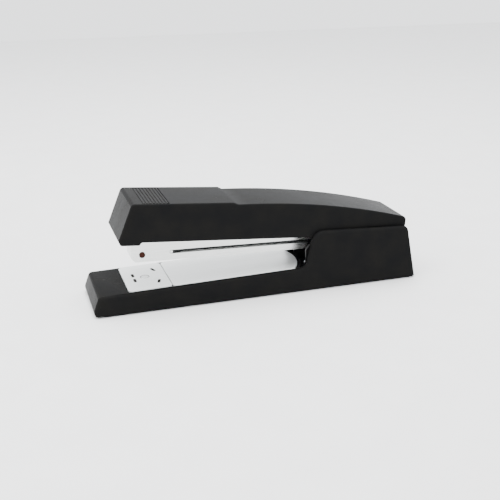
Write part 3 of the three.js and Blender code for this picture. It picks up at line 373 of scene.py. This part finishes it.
# ---- Pieces made from the CAD nodes ----
FINE_NODES = (
    ("base_casing", ENAMEL, 0.35, 3),
    ("base_sole", RUBBER, 0.25, 2),
    ("hinge_bracket", BLACK_STEEL, 0.25, 2),
    ("bracket_screw_front", FITTING, 0.12, 2),
    ("bracket_screw_rear", FITTING, 0.12, 2),
    ("hinge_pin", FITTING, 0.1, 2),
    ("pin_ring_left", SPRING, 0.1, 2),
    ("pin_ring_right", SPRING, 0.1, 2),
    ("lift_spring", SPRING, 0.1, 2),
    ("base_plate", PLATE, 0.22, 3),
    ("anvil_plate", PLATE, 0.2, 3),
    ("anvil_post", STEEL, 0.12, 2),
    ("magazine_channel", STEEL, 0.22, 3),
    ("staple_rail", STEEL, 0.15, 2),
    ("nose_block", BROWN, 0.15, 2),
    ("rear_block", PANEL, 0.2, 2),
    ("rail_rivet_front", FITTING, 0.12, 2),
    ("rail_rivet_rear", FITTING, 0.12, 2),
    ("pusher_rod", FITTING, 0.12, 2),
    ("hinge_bush", FITTING, 0.12, 2),
    ("pusher_saddle", BLACK_STEEL, 0.1, 2),
    ("pusher_carrier", STEEL, 0.12, 2),
    ("handle_cover", ENAMEL, 0.3, 3),
    ("grip_panel", PANEL, 0.1, 2),
    ("handle_frame", STEEL, 0.2, 2),
    ("driver_blade", STEEL, 0.08, 2),
    ("blade_rivet_left", FITTING, 0.1, 2),
    ("blade_rivet_right", FITTING, 0.1, 2),
    ("cover_screw_front", FITTING, 0.12, 2),
    ("cover_screw_rear", FITTING, 0.12, 2),
    ("handle_spring", SPRING, 0.1, 2),
)
for source, material, edge_mm, segments in FINE_NODES:
    finer(source + "_fine", source, material, edge_mm * MM, segments)


# ---- Coil springs ----
def pusher_spring():
    """The long coil on the rod, drawn at its length in the CAD model; the real coil shortens as the
    pusher is drawn back.
    """
    low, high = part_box("pusher_spring")
    start = Vector((low.x, 0, high.z - PUSHER_COIL_INSET))
    end = Vector((high.x, 0, low.z + PUSHER_COIL_INSET))
    inset = (end - start).normalized() * PUSHER_WIRE
    length = (end - start).length - 2 * PUSHER_WIRE
    points = coil(
        start + inset,
        end - start,
        length,
        PUSHER_COIL_RADIUS,
        PUSHER_TURNS,
        PUSHER_CLOSED_TURNS,
    )
    spring = tube("pusher_coil", points, PUSHER_WIRE, SPRING)
    stands_for(spring, "pusher_spring")
    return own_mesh(spring)


def anvil_spring():
    """The short coil round the anvil's post."""
    low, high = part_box("anvil_spring")
    centre = (low + high) / 2
    length = high.z - low.z - ANVIL_COIL_CLEARANCE
    start = centre - LIFT * (length / 2 - ANVIL_WIRE)
    points = coil(
        start,
        LIFT,
        length - 2 * ANVIL_WIRE,
        ANVIL_COIL_RADIUS,
        ANVIL_TURNS,
        ANVIL_CLOSED_TURNS,
    )
    spring = tube("anvil_coil", points, ANVIL_WIRE, SPRING)
    return stands_for(spring, "anvil_spring")


pusher_spring()
anvil_spring()


# ---- Painted shade on parts of one piece ----
def paint_shade_on_faces(name, material, chosen):
    """Gives the faces that chosen picks, by middle and normal, another material."""
    mesh = bpy.data.objects[name].data
    mesh.materials.append(material)
    for face in mesh.polygons:
        if chosen(face.center, face.normal):
            face.material_index = 1


def paint_groove_shade():
    """Painted shade in the anvil's grooves and round its post."""
    low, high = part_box("anvil_plate")
    top = Vector((high.x, 0, high.z))

    def in_a_groove(place, normal):
        from_edges = min(
            place.x - low.x,
            high.x - place.x,
            place.y - low.y,
            high.y - place.y,
        )
        sunk = (place - top).dot(LIFT) < -GROOVE_DEPTH
        return from_edges > GROOVE_MARGIN and sunk and normal.dot(LIFT) > FACES_DOWN

    def beside_the_post(place, normal):
        return normal.dot(LIFT) < FACES_SIDEWAYS

    # Painted shade on the groove faces and on the post's sides
    paint_shade_on_faces("anvil_plate_fine", SHADE_PAINT, in_a_groove)
    paint_shade_on_faces("anvil_post_fine", SHADE_PAINT, beside_the_post)


def paint_carrier_shade():
    """Painted shade: the pusher's carrier is dark black steel behind the magazine's slot, and only
    the ends of its peg stay bright.
    """
    _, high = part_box("pusher_carrier")
    shown_from = high.y - PEG_END_SHOWN

    def behind_the_slot(place, normal):
        return abs(place.y) < shown_from

    # Black steel here is painted shade, so that the slot reads dark
    paint_shade_on_faces("pusher_carrier_fine", BLACK_STEEL, behind_the_slot)


paint_groove_shade()
paint_carrier_shade()


# ---- Floor, light and camera ----
FLOOR_SIZE = 3.0
WORLD_COLOUR = (0.97, 0.985, 1.0, 1)
WORLD_STRENGTH = 2.3
WARM_WHITE = (1, 0.98, 0.95)


def floor():
    bpy.ops.mesh.primitive_plane_add(size=FLOOR_SIZE, location=(0, 0, 0))
    plane = bpy.context.object
    plane.name = "floor"
    material, tree, shader = new_material("pale_floor")
    speckle = noise(tree, object_coordinates(tree), 40.0, 2.0)
    colour = mix_colour(tree, speckle, (0.86, 0.86, 0.86), (0.88, 0.88, 0.88))
    tree.links.new(colour, shader.inputs["Base Color"])
    shader.inputs["Roughness"].default_value = 0.75
    shader.inputs["Specular IOR Level"].default_value = 0.2
    plane.data.materials.append(material)


def area_light(name, place, aim, size, power, colour=(1, 1, 1)):
    light = bpy.data.lights.new(name, "AREA")
    light.shape = "RECTANGLE"
    light.size, light.size_y = size
    light.energy = power
    light.color = colour
    lamp = placed(bpy.data.objects.new(name, light))
    lamp.location = place
    lamp.rotation_euler = (Vector(aim) - Vector(place)).to_track_quat("-Z", "Y").to_euler()


def studio():
    world = bpy.data.worlds.new("studio")
    bpy.context.scene.world = world
    world.use_nodes = True
    background = world.node_tree.nodes["Background"]
    background.inputs["Color"].default_value = WORLD_COLOUR
    background.inputs["Strength"].default_value = WORLD_STRENGTH
    area_light("top_softbox", (-0.05, 0.05, 0.9), (0, 0, 0), (1.0, 0.8), 16.0)
    area_light("left_softbox", (-0.9, -0.25, 0.5), (0, 0, 0.02), (0.7, 0.5), 4.0, WARM_WHITE)


AZIMUTH = math.radians(-17.49)  # negative is towards the nose
ELEVATION = math.radians(20.04)
ROLL = math.radians(-0.48)
TARGET = Vector((-1.49, 0, 21.87)) * MM
DISTANCE = 502.2 * MM
SENSOR_WIDTH = 36  # in mm, as Blender has it
FOCAL_SHARE = 1.672  # focal length over the sensor's width


def camera():
    """From the nose end, a little above, as such products are shown."""
    back = Vector((
        math.sin(AZIMUTH) * math.cos(ELEVATION),
        -math.cos(AZIMUTH) * math.cos(ELEVATION),
        math.sin(ELEVATION),
    ))
    data = bpy.data.cameras.new("camera")
    data.sensor_width = SENSOR_WIDTH
    data.lens = FOCAL_SHARE * SENSOR_WIDTH
    seen_from = placed(bpy.data.objects.new("camera", data))
    turn = back.to_track_quat("Z", "Y").to_matrix().to_4x4() @ Matrix.Rotation(ROLL, 4, "Z")
    seen_from.matrix_world = Matrix.Translation(TARGET + back * DISTANCE) @ turn
    bpy.context.scene.camera = seen_from


floor()
studio()
camera()
